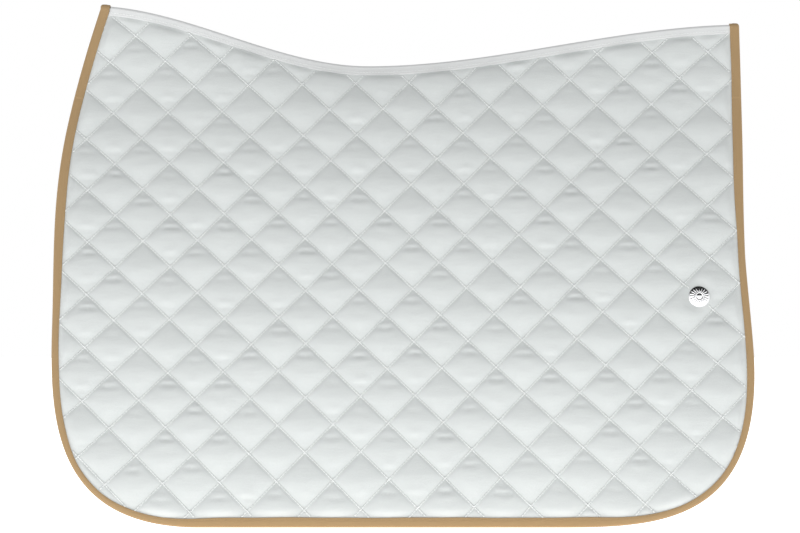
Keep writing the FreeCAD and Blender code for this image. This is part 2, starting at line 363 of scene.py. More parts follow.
@dataclass(frozen=True)
class Lattice:
    """Square quilting grid standing on its corners, laid out on the flat cloth (x, depth).

    Seams are the lines where s or t is whole. Along s the cloth runs to the rear and down, and
    along t to the rear and up.
    """

    hang: Hang
    half_diagonal: float = 26.69
    tilt: float = math.radians(1.03)
    start_x: float = 9.26
    start_depth: float = 120.3
    middle_depth: float = 150.0
    reach_unit: float = 300.0
    squeeze: float = 5.4
    spread: float = 19.2
    flare: float = 4.1
    drift: float = -1.7
    bow: float = -10.8
    skew: float = 7.1
    curl: float = 12.5

    def cloth(self, s: Array, t: Array) -> Array:
        """Rows of (x, depth) on the flat cloth at lattice places.

        The squares are stretched a little, as a quilting machine's are. With u and v the
        distances from the middle in reach units, x grows by u times (spread v squared, plus flare
        u squared, less the squeeze), and the depth by drift, bow, skew and curl times the first
        to fourth powers of v.
        """
        column, row = s + t, s - t
        cos, sin = math.cos(self.tilt), math.sin(self.tilt)
        x = self.start_x + self.half_diagonal * (column * cos + row * sin)
        depth = self.start_depth + self.half_diagonal * (row * cos - column * sin)
        u, v = x / self.reach_unit, (depth - self.middle_depth) / self.reach_unit
        x = x + u * (self.spread * v**2 + self.flare * u**2 - self.squeeze)
        depth = depth + v * (self.drift + v * (self.bow + v * (self.skew + v * self.curl)))
        return np.stack([x.ravel(), depth.ravel()], axis=1)

    def side_view(self, s: Array, t: Array) -> Array:
        """Rows of (x, z) at lattice places."""
        cloth = self.cloth(s, t)
        return np.stack([cloth[:, 0], self.hang.height(cloth[:, 1])], axis=1)

    def place_of(self, x: float, z: float) -> tuple[float, float]:
        """Lattice place (s, t) of a point in the side view."""
        cos, sin = math.cos(self.tilt), math.sin(self.tilt)
        across = (x - self.start_x) / self.half_diagonal
        down = (float(self.hang.depth(np.array([z]))[0]) - self.start_depth) / self.half_diagonal
        column, row = across * cos - down * sin, down * cos + across * sin
        return (column + row) / 2, (column - row) / 2

    def reach(self) -> tuple[int, int, int, int]:
        """Whole lattice lines that cover the pad: first and last of s, then of t."""
        outline = self.hang.outline
        half, top = outline.half_length, outline.fold_height + outline.withers_rise + 10.0
        corners = np.array([self.place_of(x, z) for x in (-half, half) for z in (0.0, top)])
        low, high = np.floor(corners.min(0)).astype(int) - 1, np.ceil(corners.max(0)).astype(int) + 1
        return low[0], high[0], low[1], high[1]


@dataclass(frozen=True)
class Pockets:
    """Shapes of the puffed pockets between the seams: a dome with creases across its corners."""

    lines: int
    variants: int
    seed: int
    edge_share: float = 0.45
    top_fullness: float = 0.54
    bottom_fullness: float = 1.02
    crease_depth: float = 0.62
    low_crease_depth: float = 0.42
    loft: float = 1.0

    def stations(self) -> Array:
        """Places of the grid lines across a pocket, from 0 to 1, closer together near its seams."""
        t = np.linspace(0.0, 1.0, self.lines + 1)
        return (1 - self.edge_share) * t + self.edge_share * (0.5 - 0.5 * np.cos(math.pi * t))

    def shapes(self) -> Array:
        """Heights of every variant on the grid, from 0 at the seams to about 1.

        The dome is the product of two round profiles, steep under its top seams and gentler down
        to its bottom ones. A crease is a narrow valley across the pocket with a small roll above
        it. It curves like a smile, and its place, depth and curl are drawn for each variant.

        Returns:
            Array of variants by s by t, times the loft.
        """
        rng = np.random.default_rng(self.seed)
        stations = self.stations()
        s, t = np.meshgrid(stations, stations, indexing="ij")
        down = (s + 1 - t) / 2
        across = s + t - 1
        power = self.top_fullness + (self.bottom_fullness - self.top_fullness) * smoothstep(down, 0.3, 0.8)
        profile = (16 * s * (1 - s) * t * (1 - t)) ** power
        dome = profile * (0.90 + 0.24 * down)
        fade = np.clip(profile, 0.0, 1.0) ** 0.5

        def draw(low: float, high: float) -> Array:
            return rng.uniform(low, high, self.variants)[:, None, None]

        strength = np.clip(draw(-0.2, 1.2), 0.0, 1.0)
        heights = np.repeat(dome[None], self.variants, axis=0) * draw(0.9, 1.08)
        heights += self._crease(down, across - draw(-0.1, 0.1), draw(0.23, 0.31), draw(0.1, 0.34)) * (
            fade * self.crease_depth * strength
        )
        low_strength = np.clip(draw(-0.8, 1.0), 0.0, 1.0)
        heights += self._crease(down, across - draw(-0.12, 0.12), draw(0.76, 0.83), draw(-0.3, 0.15)) * (
            fade * self.low_crease_depth * low_strength
        )
        ripple = np.sin(2 * math.pi * (down * draw(2.0, 4.5) + across * draw(-0.5, 0.5) + draw(0, 1)))
        heights += 0.022 * ripple * fade
        for along, away in ((s, t), (t, s)):
            near = np.exp(-np.minimum(away, 1 - away) / 0.10) * np.sin(math.pi * along)
            pucker = np.sin(2 * math.pi * (along * draw(4.0, 7.0) + draw(0, 1)))
            heights += 0.035 * near * pucker * fade
        return heights * self.loft

    @staticmethod
    def _crease(down: Array, across: Array, level: Array, curl: Array) -> Array:
        """A valley about 1 deep at a level down the pocket, with a roll above and a low shelf below."""
        offset = down - level + curl * across**2
        window = np.clip(1 - (across / 0.46) ** 2, 0.0, 1.0) ** 0.8
        valley = -0.9 * np.exp(-((offset / 0.03) ** 2))
        roll = 0.7 * np.exp(-(((offset + 0.07) / 0.055) ** 2))
        shelf = 0.3 * np.exp(-(((offset - 0.07) / 0.05) ** 2))
        return (valley + roll + shelf) * window


class Value:
    """A number socket of a material. Arithmetic on it adds Math nodes."""

    def __init__(self, tree: bpy.types.NodeTree, socket: bpy.types.NodeSocket) -> None:
        """Wraps a socket of a tree."""
        self.tree = tree
        self.socket = socket

    def _math(self, operation: str, *operands: "Value | float") -> "Value":
        """Math node of an operation on sockets and numbers."""
        node = self.tree.nodes.new("ShaderNodeMath")
        node.operation = operation
        for slot, operand in zip(node.inputs, operands):
            if isinstance(operand, Value):
                self.tree.links.new(operand.socket, slot)
            else:
                slot.default_value = operand
        return Value(self.tree, node.outputs[0])

    def __add__(self, other: "Value | float") -> "Value":
        """Sum."""
        return self._math("ADD", self, other)

    def __sub__(self, other: "Value | float") -> "Value":
        """Difference."""
        return self._math("SUBTRACT", self, other)

    def __mul__(self, other: "Value | float") -> "Value":
        """Product."""
        return self._math("MULTIPLY", self, other)

    def sine(self) -> "Value":
        """Sine of the value in radians."""
        return self._math("SINE", self)

    def clamp(self) -> "Value":
        """The value held between 0 and 1."""
        return self._math("MAXIMUM", self._math("MINIMUM", self, 1.0), 0.0)


class Finish:
    """A material being built round one Principled shader."""

    def __init__(self, name: str) -> None:
        """Starts an empty material of that name."""
        self.material = bpy.data.materials.new(name)
        self.material.use_nodes = True
        self.tree = self.material.node_tree
        self.tree.nodes.clear()
        self.shader = self.tree.nodes.new("ShaderNodeBsdfPrincipled")
        output = self.tree.nodes.new("ShaderNodeOutputMaterial")
        self.tree.links.new(self.shader.outputs[0], output.inputs["Surface"])

    def node(self, kind: str, settings: dict[str, object], inputs: dict[str, object]) -> bpy.types.Node:
        """A node of any type.

        Args:
            kind: the node's type.
            settings: attributes, set first.
            inputs: values, Values or sockets by input name.

        Returns:
            The node.
        """
        node = self.tree.nodes.new(kind)
        for key, setting in settings.items():
            setattr(node, key, setting)
        for key, value in inputs.items():
            self.feed(node.inputs[key], value)
        return node

    def feed(self, socket: bpy.types.NodeSocket, value: object) -> None:
        """Links a Value or socket into a socket, or sets its value."""
        if isinstance(value, Value):
            self.tree.links.new(value.socket, socket)
        elif isinstance(value, bpy.types.NodeSocket):
            self.tree.links.new(value, socket)
        else:
            socket.default_value = value

    def value(self, node: bpy.types.Node, output: str | int = 0) -> Value:
        """A node's output as a Value."""
        return Value(self.tree, node.outputs[output])

    def shade(self, inputs: dict[str, object]) -> None:
        """Feeds the Principled shader's inputs."""
        for key, value in inputs.items():
            self.feed(self.shader.inputs[key], value)

    def coordinates(self, uv: str | None) -> bpy.types.NodeSocket:
        """Object coordinates, or a named UV map."""
        if uv is None:
            return self.node("ShaderNodeTexCoord", {}, {}).outputs["Object"]
        return self.node("ShaderNodeUVMap", {"uv_map": uv}, {}).outputs["UV"]

    def noise(self, vector: bpy.types.NodeSocket, scale: float, detail: float = 2.0) -> Value:
        """Noise from 0 to 1 at a number of lumps to the metre."""
        inputs = {"Vector": vector, "Scale": scale, "Detail": detail}
        return self.value(self.node("ShaderNodeTexNoise", {}, inputs), "Fac")

    def mix(self, factor: Value, low: tuple[float, ...], high: tuple[float, ...]) -> bpy.types.NodeSocket:
        """Colour between two colours."""
        node = self.node("ShaderNodeMix", {"data_type": "RGBA"}, {"Factor": factor})
        node.inputs[6].default_value = (*low, 1.0)
        node.inputs[7].default_value = (*high, 1.0)
        return node.outputs[2]

    def bump(self, height: Value, distance: float, strength: float = 1.0) -> bpy.types.NodeSocket:
        """Normal bent by a height from 0 to 1 that stands for a distance in metres."""
        inputs = {"Height": height, "Distance": distance, "Strength": strength}
        return self.node("ShaderNodeBump", {}, inputs).outputs["Normal"]


@dataclass(frozen=True)
class WovenCloth:
    """Quilted cotton: a fine weave on the cloth's own map, slubs, and a soft sheen."""

    name: str
    colour: tuple[float, float, float]
    shadow: tuple[float, float, float]
    thread_pitch: float = 0.00055
    relief: float = 0.00005
    roughness: float = 0.88
    sheen: float = 0.15

    def build(self) -> bpy.types.Material:
        """Makes the material."""
        finish = Finish(self.name)
        cloth = finish.coordinates("cloth")
        split = finish.node("ShaderNodeSeparateXYZ", {}, {"Vector": cloth})
        turns = 2 * math.pi / self.thread_pitch
        warp = (finish.value(split, "X") * turns).sine()
        weft = (finish.value(split, "Y") * turns).sine()
        weave = warp * weft * 0.5 + 0.5
        slubs = finish.noise(cloth, 420.0, 3.0)
        drawn = finish.node("ShaderNodeMapping", {}, {"Vector": cloth, "Scale": (1.0, 3.6, 1.0)})
        creasing = finish.noise(drawn.outputs[0], 60.0, 4.0)
        mottle = finish.noise(cloth, 9.0, 3.0)
        height = weave * 0.5 + slubs * 1.1 + creasing * 3.2
        worn = (mottle * 0.5 + slubs * 0.5 + weave * 0.12 - 0.06).clamp()
        finish.shade(
            {
                "Base Color": finish.mix(worn, self.shadow, self.colour),
                "Roughness": (slubs * 0.12 + (self.roughness - 0.06)).clamp(),
                "Sheen Weight": self.sheen,
                "Sheen Roughness": 0.5,
                "Specular IOR Level": 0.25,
                "Normal": finish.bump(height, self.relief * 4, 0.55),
            }
        )
        return finish.material


@dataclass(frozen=True)
class WovenTape:
    """Narrow woven tape: ribs across its width on its own map."""

    name: str
    colour: tuple[float, float, float]
    shadow: tuple[float, float, float]
    rib_pitch: float = 0.0011
    relief: float = 0.00018
    roughness: float = 0.82

    def build(self) -> bpy.types.Material:
        """Makes the material."""
        finish = Finish(self.name)
        tape = finish.coordinates("cloth")
        split = finish.node("ShaderNodeSeparateXYZ", {}, {"Vector": tape})
        along, across = finish.value(split, "X"), finish.value(split, "Y")
        turns = 2 * math.pi / self.rib_pitch
        rib = (along * turns).sine() * 0.5 + 0.5
        yarn = (across * (turns * 1.7)).sine() * (along * (turns * 0.5)).sine() * 0.5 + 0.5
        fuzz = finish.noise(tape, 900.0, 2.0)
        drift = finish.noise(tape, 14.0, 3.0)
        height = rib * 0.6 + yarn * 0.25 + fuzz * 0.35
        tone = (drift * 0.5 + fuzz * 0.3 + rib * 0.2).clamp()
        finish.shade(
            {
                "Base Color": finish.mix(tone, self.shadow, self.colour),
                "Roughness": (fuzz * 0.14 + (self.roughness - 0.07)).clamp(),
                "Sheen Weight": 0.1,
                "Specular IOR Level": 0.3,
                "Normal": finish.bump(height, self.relief, 0.6),
            }
        )
        return finish.material


@dataclass(frozen=True)
class Fibres:
    """Sewing thread or wadding: a fine noise over a coarse one, each of a scale and a detail."""

    name: str
    colour: tuple[float, float, float]
    shadow: tuple[float, float, float]
    fine: tuple[float, float]
    coarse: tuple[float, float]
    smoothest: float
    roughening: float
    sheen: float
    relief: float
    relief_strength: float
    coarse_relief: float

    def build(self) -> bpy.types.Material:
        """Makes the material."""
        finish = Finish(self.name)
        place = finish.coordinates(None)
        fine, coarse = finish.noise(place, *self.fine), finish.noise(place, *self.coarse)
        height = fine + coarse * self.coarse_relief
        finish.shade(
            {
                "Base Color": finish.mix((fine * 0.6 + coarse * 0.4).clamp(), self.shadow, self.colour),
                "Roughness": (fine * self.roughening + self.smoothest).clamp(),
                "Sheen Weight": self.sheen,
                "Normal": finish.bump(height, self.relief, self.relief_strength),
            }
        )
        return finish.material


@dataclass(frozen=True)
class PlatedMetal:
    """Bright plated metal with fine scuffs."""

    name: str
    colour: tuple[float, float, float]
    shadow: tuple[float, float, float]
    roughness: float

    def build(self) -> bpy.types.Material:
        """Makes the material."""
        finish = Finish(self.name)
        place = finish.coordinates(None)
        scuffs = finish.noise(place, 1500.0, 4.0)
        tarnish = finish.noise(place, 260.0, 3.0)
        finish.shade(
            {
                "Base Color": finish.mix((tarnish * 1.4 - 0.2).clamp(), self.shadow, self.colour),
                "Metallic": 1.0,
                "Roughness": (scuffs * 0.14 + tarnish * 0.06 + (self.roughness - 0.1)).clamp(),
                "Normal": finish.bump(scuffs, 0.00002, 0.4),
            }
        )
        return finish.material


@dataclass(frozen=True)
class PaintedStage:
    """Studio floor: bright matt white that also glows softly, as a lit sweep does."""

    name: str
    colour: tuple[float, float, float]
    glow: float

    def build(self) -> bpy.types.Material:
        """Makes the material."""
        finish = Finish(self.name)
        finish.shade(
            {
                "Base Color": (*self.colour, 1.0),
                "Roughness": 0.9,
                "Specular IOR Level": 0.1,
                "Emission Color": (1.0, 1.0, 1.0, 1.0),
                "Emission Strength": self.glow,
            }
        )
        return finish.material


@dataclass
class Finishes:
    """All the pad's materials, made once."""

    def __post_init__(self) -> None:
        """Builds every material."""
        self.cover = WovenCloth("cover_cloth", (0.768, 0.796, 0.787), (0.714, 0.744, 0.735)).build()
        self.lining = WovenCloth("lining_cloth", (0.80, 0.825, 0.825), (0.73, 0.76, 0.76)).build()
        self.binding = WovenTape("binding_tape", (0.485, 0.325, 0.165), (0.427, 0.284, 0.143)).build()
        self.spine = WovenTape("spine_tape", (0.86, 0.875, 0.87), (0.79, 0.80, 0.80), 0.0009).build()
        white, tan = ((0.955, 0.98, 0.97), (0.93, 0.955, 0.945)), ((0.49, 0.33, 0.165), (0.42, 0.28, 0.14))
        spun = ((2600.0, 2.0), (40.0, 2.0), 0.5, 0.2, 0.2, 0.00008, 0.5, 0.0)
        self.white_thread = Fibres("white_thread", *white, *spun).build()
        self.tan_thread = Fibres("tan_thread", *tan, *spun).build()
        loose = ((700.0, 6.0), (60.0, 3.0), 0.88, 0.1, 0.0, 0.0006, 0.7, 1.0)
        self.wadding = Fibres("wadding", (0.90, 0.90, 0.89), (0.80, 0.80, 0.79), *loose).build()
        self.chrome = PlatedMetal("badge_metal", (0.90, 0.90, 0.91), (0.80, 0.80, 0.81), 0.16).build()
        self.steel = PlatedMetal("rivet_metal", (0.74, 0.74, 0.76), (0.62, 0.62, 0.64), 0.32).build()


@dataclass
class Surface:
    """Vertices in millimetres, quads and corner coordinates of a mesh in the making."""

    points: Array
    quads: Array
    cloth: Array | None = None
    flat_faces: int = 0

    def joined(self, other: "Surface") -> "Surface":
        """This surface and another as one."""
        quads = np.vstack([self.quads, other.quads + len(self.points)])
        cloth = None
        if self.cloth is not None and other.cloth is not None:
            cloth = np.vstack([self.cloth, other.cloth])
        return Surface(np.vstack([self.points, other.points]), quads, cloth)

    def turned(self) -> "Surface":
        """The same surface with its faces turned over."""
        return Surface(self.points, self.quads[:, [1, 0, 3, 2]], self.cloth, self.flat_faces)

    def outward(self) -> "Surface":
        """This closed surface with its faces outwards: turned over if its volume is negative."""
        a, b, c, d = self.points[self.quads].transpose(1, 0, 2)
        volume = (np.cross(a, b) * c).sum() + (np.cross(a, c) * d).sum()
        return self if volume > 0 else self.turned()

    def piece(self, name: str, material: bpy.types.Material) -> bpy.types.Object:
        """Makes a smooth-shaded object in metres.

        A quad whose last two corners are the same becomes a triangle.

        Args:
            name: name of the object.
            material: its one material.

        Returns:
            The object, at the origin.
        """
        mesh = bpy.data.meshes.new(name)
        three = self.quads[:, 2] == self.quads[:, 3]
        counts = np.where(three, 3, 4)
        keep = np.ones(self.quads.shape, bool)
        keep[three, 3] = False
        corners = self.quads[keep]
        mesh.vertices.add(len(self.points))
        mesh.vertices.foreach_set("co", (self.points * MM).astype(np.float32).ravel())
        mesh.loops.add(len(corners))
        mesh.loops.foreach_set("vertex_index", corners.astype(np.int32))
        mesh.polygons.add(len(counts))
        starts = np.concatenate([[0], np.cumsum(counts)[:-1]])
        mesh.polygons.foreach_set("loop_start", starts.astype(np.int32))
        mesh.polygons.foreach_set("use_smooth", np.arange(len(counts)) < len(counts) - self.flat_faces)
        if self.cloth is not None:
            layer = mesh.uv_layers.new(name="cloth")
            layer.data.foreach_set("uv", (self.cloth[corners] * MM).astype(np.float32).ravel())
        mesh.update(calc_edges=True)
        mesh.validate()
        mesh.materials.append(material)
        obj = bpy.data.objects.new(name, mesh)
        bpy.context.scene.collection.objects.link(obj)
        LOG.info("%s: %d vertices, %d faces", name, len(self.points), len(counts))
        return obj


def grid_quads(rows: int, columns: int, wrap: bool = False) -> Array:
    """Quads of a grid of vertices stored row by row, closed across its columns if wrapped."""
    index = np.arange(rows * columns).reshape(rows, columns)
    if wrap:
        index = np.concatenate([index, index[:, :1]], axis=1)
    quads = np.stack([index[:-1, :-1], index[1:, :-1], index[1:, 1:], index[:-1, 1:]], axis=-1)
    return quads.reshape(-1, 4)


def swept(rings: Array, cloth: Array) -> Surface:
    """A closed tube of rings of equal length, with a flat fan at each end.

    Args:
        rings: array of stations by ring points by (x, y, z).
        cloth: array of stations by ring points by (along, across).

    Returns:
        The surface, with its faces outwards.
    """
    stations, around = rings.shape[:2]
    quads = [grid_quads(stations, around, wrap=True)]
    points = [rings.reshape(-1, 3)]
    maps = [cloth.reshape(-1, 2)]
    for number, station in enumerate((0, stations - 1)):
        centre = stations * around + number
        ring = station * around + np.arange(around)
        pair = np.stack([ring, np.roll(ring, -1), np.full(around, centre)], axis=1)
        if station:
            pair = pair[:, [1, 0, 2]]
        quads.append(np.concatenate([pair, pair[:, 2:]], axis=1))
        points.append(rings[station].mean(0)[None])
        maps.append(cloth[station].mean(0)[None])
    tube = Surface(np.vstack(points), np.vstack(quads), np.vstack(maps), flat_faces=2 * around)
    return tube.outward()


@dataclass
class Pad:
    """What every sub-assembly shares: the outline, the hang, the quilting and the finishes."""

    outline: Outline
    hang: Hang
    lattice: Lattice
    finishes: Finishes
    badge_place: tuple[float, float]
    badge_radius: float
    fold_blend: float = 26.0
    binding_width: float = 9.0
    tape_width: float = 8.5
    tape_narrow: float = 7.1
    tape_widening: float = 2.6
    tape_corner_loss: float = 1.3
    seam_half: float = 1.15
    edge_half: float = 1.75
    stitch_pitch: float = 3.1

    def __post_init__(self) -> None:
        """Samples the two boundaries once."""
        self.rim = self.outline.rim(1.5)
        self.crest = self.outline.crest_line(2.0)

    def insets(self, points: Array) -> tuple[Array, Array]:
        """Distances of side-view points inside the rim and below the crest line."""
        return inset_from(self.rim, points)[0], inset_from(self.crest, points)[0]

    def tape_reach(self, points: Array) -> Array:
        """Width of the binding near each point: wide up the ends and along the hem, else narrow."""
        x, z = points[:, 0], points[:, 1]
        half = self.outline.half_length
        rear = smoothstep(x, 0.0, 60.0)
        rise = smoothstep(z, 170.0 + 90.0 * rear, 300.0 + 60.0 * rear)
        side = self.tape_narrow + 0.3 * rear + (self.tape_widening - 0.2 * rear) * rise
        under = (1 - smoothstep(z, 10.0, 60.0)) * (1 - smoothstep(np.abs(x), half - 165.0, half - 105.0))
        corner = np.exp(-(((z - 45.0) / 42.0) ** 2)) * smoothstep(np.abs(x), half - 130.0, half - 60.0)
        waver = 0.2 * np.sin(x / 23.0 + z / 31.0) + 0.12 * np.sin(x / 9.0 - z / 13.0 + 1.0)
        widened = side + (self.binding_width + 0.5 - side) * under
        return widened - self.tape_corner_loss * corner + waver

    def openness(self, points: Array) -> Array:
        """How freely the cloth puffs: 0 under the binding and the tape, 1 well away from them."""
        rim, crest = self.insets(points)
        free = smoothstep(rim - self.tape_reach(points), 0.1, 6.5)
        return free * smoothstep(crest, self.tape_width + 0.1, self.tape_width + 6.0)

    def badge_pull(self, points: Array, side: Side) -> Array:
        """1 under the badge, falling to 0 round it. It is 0 all over on the right side."""
        if side is Side.RIGHT:
            return np.zeros(len(points))
        gap = np.linalg.norm(points - np.array(self.badge_place), axis=1)
        return 1 - smoothstep(gap, self.badge_radius - 0.5, self.badge_radius + 9.0)

    def sewn_row(self, line: Array, side: Side, lift: float, size: tuple[float, float, float]) -> Surface:
        """A row of stitches along a line in the side view.

        Args:
            line: rows of (x, z).
            side: the flap that it lies on.
            lift: height of the stitches' middle above the panel's middle face.
            size: half length, width and height of a stitch.

        Returns:
            The stitches as beads.
        """
        reach, width, height = size
        row = resample(line, self.stitch_pitch)
        along = np.gradient(row, axis=0)
        along /= np.linalg.norm(along, axis=1)[:, None]
        lifts = np.full(len(row), lift)
        starts, ends = (self.hang.place(row + sign * along * reach, lifts, side) for sign in (-1, 1))
        return beads(starts, ends, self.hang.normals(row, side), width, height)

    def take(self, piece: bpy.types.Object, slot: str, nodes: tuple[str, ...], side: Side | None) -> None:
        """Hides the CAD nodes that a piece replaces, and hangs it on the ridge or bakes its transform where
        it lies on a flap.

        Args:
            piece: the piece.
            slot: not used.
            nodes: CAD nodes that it replaces, if any.
            side: the flap that it lies on, or None where it rides the ridge.
        """
        if nodes:
            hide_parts(*nodes)
        if side is None:
            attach(piece, "ridge")
        else:
            self._blend(piece, side)

    def _blend(self, piece: bpy.types.Object, side: Side) -> None:
        """Bakes a piece's transform into its mesh. The band at the fold line is worked out, but nothing
        bends the piece.
        """
        fold = self.outline.fold_height
        y = side.sign * float(self.hang.middle_y(np.array([0.0]), np.array([fold]))[0])
        start = (0.0, y * MM, (fold + self.fold_blend) * MM)
        end = (0.0, y * MM, (fold - self.fold_blend) * MM)
        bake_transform(piece)


@dataclass
class QuiltedPanel:
    """One panel of the pad: cover, wadding and lining with their quilting thread."""

    pad: Pad
    side: Side
    seed: int
    outer_puff: float = 5.5
    inner_puff: float = 2.6
    cloth_thickness: float = 0.6
    layer_gap: float = 0.08
    rim_tuck: float = 2.2
    crest_tuck: float = 1.0
    rim_band: float = 8.0
    rim_slack: float = 60.0
    stitch_lift: float = 0.6
    badge_press: float = 0.05
    stitch_length: float = 3.05
    stitch_width: float = 1.55
    stitch_height: float = 0.85
    flat_size: tuple[float, float] = (0.74, 0.56)
    flat_area: float = 0.325

    def layer_surface(
        self, pockets: Pockets, bottom: tuple[Face, float], top: tuple[Face, float]
    ) -> Surface:
        """A closed quilted layer between two offsets from the quilted faces.

        The vertices lie on lattice lines, so that every seam is a row of vertices. Those just
        outside the rim are drawn onto a line that the binding hides.

        Args:
            pockets: grid and shapes of the pockets.
            bottom: face that the layer's inner side follows, and its depth below that face.
            top: face that the layer's outer side follows, and its depth below that face.

        Returns:
            The layer, with its faces outwards.
        """
        pad = self.pad
        first_s, last_s, first_t, last_t = pad.lattice.reach()
        stations = pockets.stations()[:-1]
        s_lines = (np.arange(first_s, last_s)[:, None] + stations[None, :]).ravel()
        t_lines = (np.arange(first_t, last_t)[:, None] + stations[None, :]).ravel()
        s, t = np.meshgrid(s_lines, t_lines, indexing="ij")
        points = pad.lattice.side_view(s, t)
        inset, points = self._tucked(points)
        slack = self.rim_slack / pockets.lines
        inside = (inset > -slack).reshape(s.shape)
        full = (inset > 0).reshape(s.shape)
        quads = grid_quads(*s.shape)
        kept = inside.ravel()[quads].all(1) & full.ravel()[quads].any(1)
        used, quads = np.unique(quads[kept], return_inverse=True)
        quads = quads.reshape(-1, 4)
        points = points[used]
        heights = self._puff(pockets, s.shape, used)
        free, pull = pad.openness(points), pad.badge_pull(points, self.side)
        lifts = [self._lift(heights, free, pull, face, depth) for face, depth in (top, bottom)]
        outer, inner = (pad.hang.place(points, lift, self.side) for lift in lifts)
        flat = pad.lattice.cloth(s, t)[used]
        edges = self._open_edges(quads)
        count = len(points)
        wall = np.stack([edges[:, 1], edges[:, 0], edges[:, 0] + count, edges[:, 1] + count], axis=1)
        faces = np.vstack([quads, quads[:, ::-1] + count, wall])
        return Surface(np.vstack([outer, inner]), faces, np.vstack([flat, flat])).outward()

    def _tucked(self, points: Array) -> tuple[Array, Array]:
        """Insets past the hidden line, and the points with those outside it drawn onto it."""
        pad = self.pad
        moved = points.copy()
        rim, crest = pad.insets(points)
        inset = np.minimum(rim - self.rim_tuck, crest - self.crest_tuck)
        near = np.flatnonzero((inset < 0) & (inset > -self.rim_band))
        for boundary, tuck in ((pad.rim, self.rim_tuck), (pad.crest, self.crest_tuck)) * 2:
            gap, way = inset_from(boundary, moved[near])
            moved[near] += np.maximum(tuck - gap, 0)[:, None] * way
        return inset, moved

    def _puff(self, pockets: Pockets, shape: tuple[int, int], used: Array) -> Array:
        """Height from 0 to about 1 at each vertex, from a pocket shape drawn for each diamond."""
        shapes = pockets.shapes()
        rng = np.random.default_rng(self.seed)
        row, column = np.unravel_index(used, shape)
        choice = rng.integers(0, pockets.variants, (shape[0] // pockets.lines, shape[1] // pockets.lines))
        variant = choice[row // pockets.lines, column // pockets.lines]
        return shapes[variant, row % pockets.lines, column % pockets.lines]

    def _lift(self, heights: Array, free: Array, pull: Array, face: Face, depth: float) -> Array:
        """Distance from the middle face to a layer's side.

        Between the seams it is the seam's half thickness plus the puff. Under the binding and
        the tape it is the pressed edge's half thickness, and under the badge the panel's.
        """
        pad = self.pad
        puff = self.outer_puff if face is Face.OUTER else self.inner_puff
        lift = pad.edge_half + (pad.seam_half + puff * heights - pad.edge_half) * free
        lean = float(pad.hang.lean(pad.badge_place[1]))
        clamped = pad.hang.panel / 2 * math.cos(lean) - self.badge_press
        lift = lift + (clamped - lift) * pull
        return face.value * (lift - depth)

    @staticmethod
    def _open_edges(quads: Array) -> Array:
        """Directed edges that only one quad has."""
        edges = np.stack([quads, np.roll(quads, -1, axis=1)], axis=-1).reshape(-1, 2)
        low, high = edges.min(1), edges.max(1)
        key = low.astype(np.int64) * (quads.max() + 1) + high
        _, first, counts = np.unique(key, return_index=True, return_counts=True)
        return edges[first[counts == 1]]

    def stitches(self, face: Face) -> Surface:
        """Every quilting stitch on one face, as pointed beads that lie along the seams."""
        pad = self.pad
        first_s, last_s, first_t, last_t = pad.lattice.reach()
        side = math.sqrt(2) * pad.lattice.half_diagonal
        step = pad.stitch_pitch / side
        rows = []
        for along_s in (True, False):
            low, high = (first_s, last_s) if along_s else (first_t, last_t)
            lines = np.arange(first_t, last_t + 1) if along_s else np.arange(first_s, last_s + 1)
            places, line = np.meshgrid(np.arange(low, high, step), lines.astype(float), indexing="ij")
            reach = self.stitch_length / side / 2
            ends = [(places + sign * reach, line) for sign in (-1, 1)]
            ends = [pair if along_s else pair[::-1] for pair in ends]
            rows.append(np.stack([pad.lattice.side_view(*pair) for pair in ends], axis=1))
        ends = np.vstack(rows)
        middle = ends.mean(1)
        rim, crest = pad.insets(middle)
        shown = (rim > pad.tape_reach(middle) + 0.6) & (crest > pad.tape_width + 0.6)
        shown &= pad.badge_pull(middle, self.side) < 0.9
        ends, middle = ends[shown], middle[shown]
        free, pull = pad.openness(middle), pad.badge_pull(middle, self.side)
        lift = self._lift(np.zeros(len(middle)), free, pull, face, -self.stitch_lift)
        tips = [pad.hang.place(ends[:, k], lift, self.side) for k in (0, 1)]
        normal = pad.hang.normals(middle, self.side) * face.value
        return beads(tips[0], tips[1], normal, self.stitch_width, self.stitch_height)

    def build(self) -> None:
        """Makes the panel's pieces and places them in the frame."""
        pad, label = self.pad, self.side.label
        fine = Pockets(14, 64, self.seed)
        coarse = Pockets(8, 64, self.seed, loft=0.42)
        medium = Pockets(10, 64, self.seed + 1)
        inset = self.cloth_thickness + self.layer_gap
        cloth, finishes = self.cloth_thickness, pad.finishes
        layers = {
            "cover": (fine, (Face.OUTER, cloth), (Face.OUTER, 0.0), finishes.cover, "cover_cloth"),
            "wadding": (coarse, (Face.INNER, inset), (Face.OUTER, inset), finishes.wadding, "wadding"),
            "lining": (medium, (Face.INNER, 0.0), (Face.INNER, cloth), finishes.lining, "lining_cloth"),
        }
        for layer, (pockets, bottom, top, material, slot) in layers.items():
            piece = self.layer_surface(pockets, bottom, top).piece(f"{label}_{layer}", material)
            pad.take(piece, slot, (f"{label}_flap_{layer}", f"{label}_ridge_{layer}"), self.side)
            layer == "wadding"
        for face in Face:
            piece = self.stitches(face).piece(f"{label}_quilting_{face.name.lower()}", finishes.white_thread)
            nodes = (f"{label}_flap_quilting", f"{label}_ridge_quilting") if face is Face.OUTER else ()
            pad.take(piece, "white_thread", nodes, self.side)


